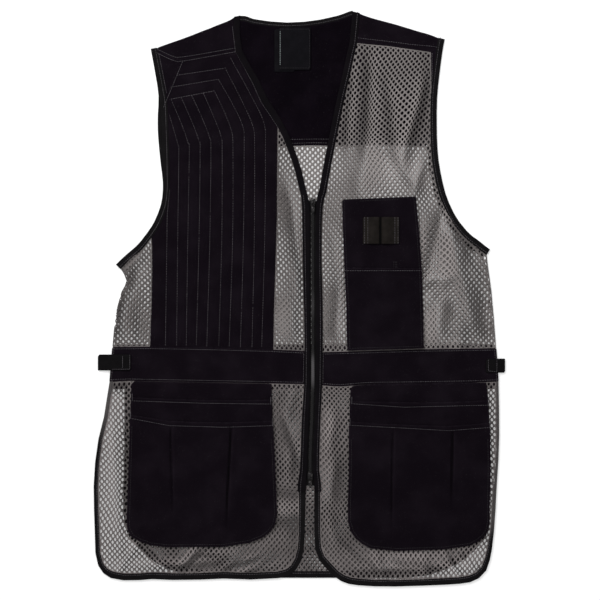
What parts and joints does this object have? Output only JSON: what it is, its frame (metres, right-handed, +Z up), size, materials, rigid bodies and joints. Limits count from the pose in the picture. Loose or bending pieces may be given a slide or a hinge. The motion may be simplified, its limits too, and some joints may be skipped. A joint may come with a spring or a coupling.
{
  "type": "shooting vest",
  "caption": "Sleeveless net vest lying flat, with a V neck, a quilted gun pad on the right shoulder, a zipped front, a cloth belt, patch pockets and a net pouch across the back.",
  "frame": {"origin": "on the floor under the middle of the vest's bounding box, level with the underside of the back", "axes": "+X towards the wearer's left side, +Y from the hem to the shoulders, +Z up, out of the vest's front"},
  "size_m": [0.5507, 0.7703, 0.0111],
  "materials": {
    "black_twill": "black cotton twill, matt, with a faint sheen",
    "black_tape": "black woven binding and webbing, finely ribbed",
    "grey_net": "warm grey knitted polyester net with oval holes",
    "dark_net": "near-black knitted net",
    "woven_label": "black satin-woven label, bare",
    "dark_elastic": "ribbed dark olive elastic",
    "zip_teeth": "black moulded teeth with a soft gloss",
    "zip_metal": "black enamel, worn to grey at the edges"
  },
  "bodies": {
    "vest": {"back_yoke": "black_twill", "back_net_upper": "grey_net", "back_belt": "black_twill", "back_neck_binding": "black_tape", "back_armhole_binding_right": "black_tape", "back_armhole_binding_left": "black_tape", "game_pouch": "dark_net", "back_net_lower": "grey_net", "back_hem_binding": "black_tape", "care_label": "woven_label", "neck_label": "woven_label", "shoulder_yoke_right": "black_twill", "shoulder_gusset_right": "black_twill", "gun_pad": "black_twill", "front_net_right_side": "grey_net", "front_net_right_centre": "grey_net", "belt_right": "black_twill", "front_net_right_lower": "grey_net", "armhole_binding_right": "black_tape", "neck_band_right": "black_twill", "hem_binding_right": "black_tape", "shoulder_yoke_left": "black_twill", "shoulder_gusset_left": "black_twill", "front_net_left_upper": "grey_net", "belt_left": "black_twill", "front_net_left_lower": "grey_net", "armhole_binding_left": "black_tape", "neck_band_left": "black_twill", "hem_binding_left": "black_tape", "chest_panel": "black_twill", "chest_pocket": "black_twill", "elastic_loops": "dark_elastic", "pocket_back_right": "black_twill", "pocket_middle_right": "black_twill", "pocket_front_right": "black_twill", "pocket_back_left": "black_twill", "pocket_middle_left": "black_twill", "pocket_front_left": "black_twill", "webbing_tab_right": "black_tape", "webbing_tab_left": "black_tape", "zip_tape_right": "black_tape", "zip_tape_left": "black_tape", "zip_band_right": "black_twill", "zip_band_left": "black_twill", "zip_chain": "zip_teeth", "upper_slider": "zip_metal", "lower_slider": "zip_metal"},
    "upper_tab": {"upper_pull": "zip_metal"},
    "lower_tab": {"lower_pull": "zip_metal"}
  },
  "joints": [
    {"name": "upper_tab_hinge", "type": "hinge", "parent": "vest", "child": "upper_tab", "pos_m": [0.0175, 0.1285, 0.0069], "axis": [-1, 0, 0], "range_deg": [0, 160]},
    {"name": "lower_tab_hinge", "type": "hinge", "parent": "vest", "child": "lower_tab", "pos_m": [0.01395, -0.2385, 0.0082], "axis": [-1, 0, 0], "range_deg": [0, 160]}
  ]
}
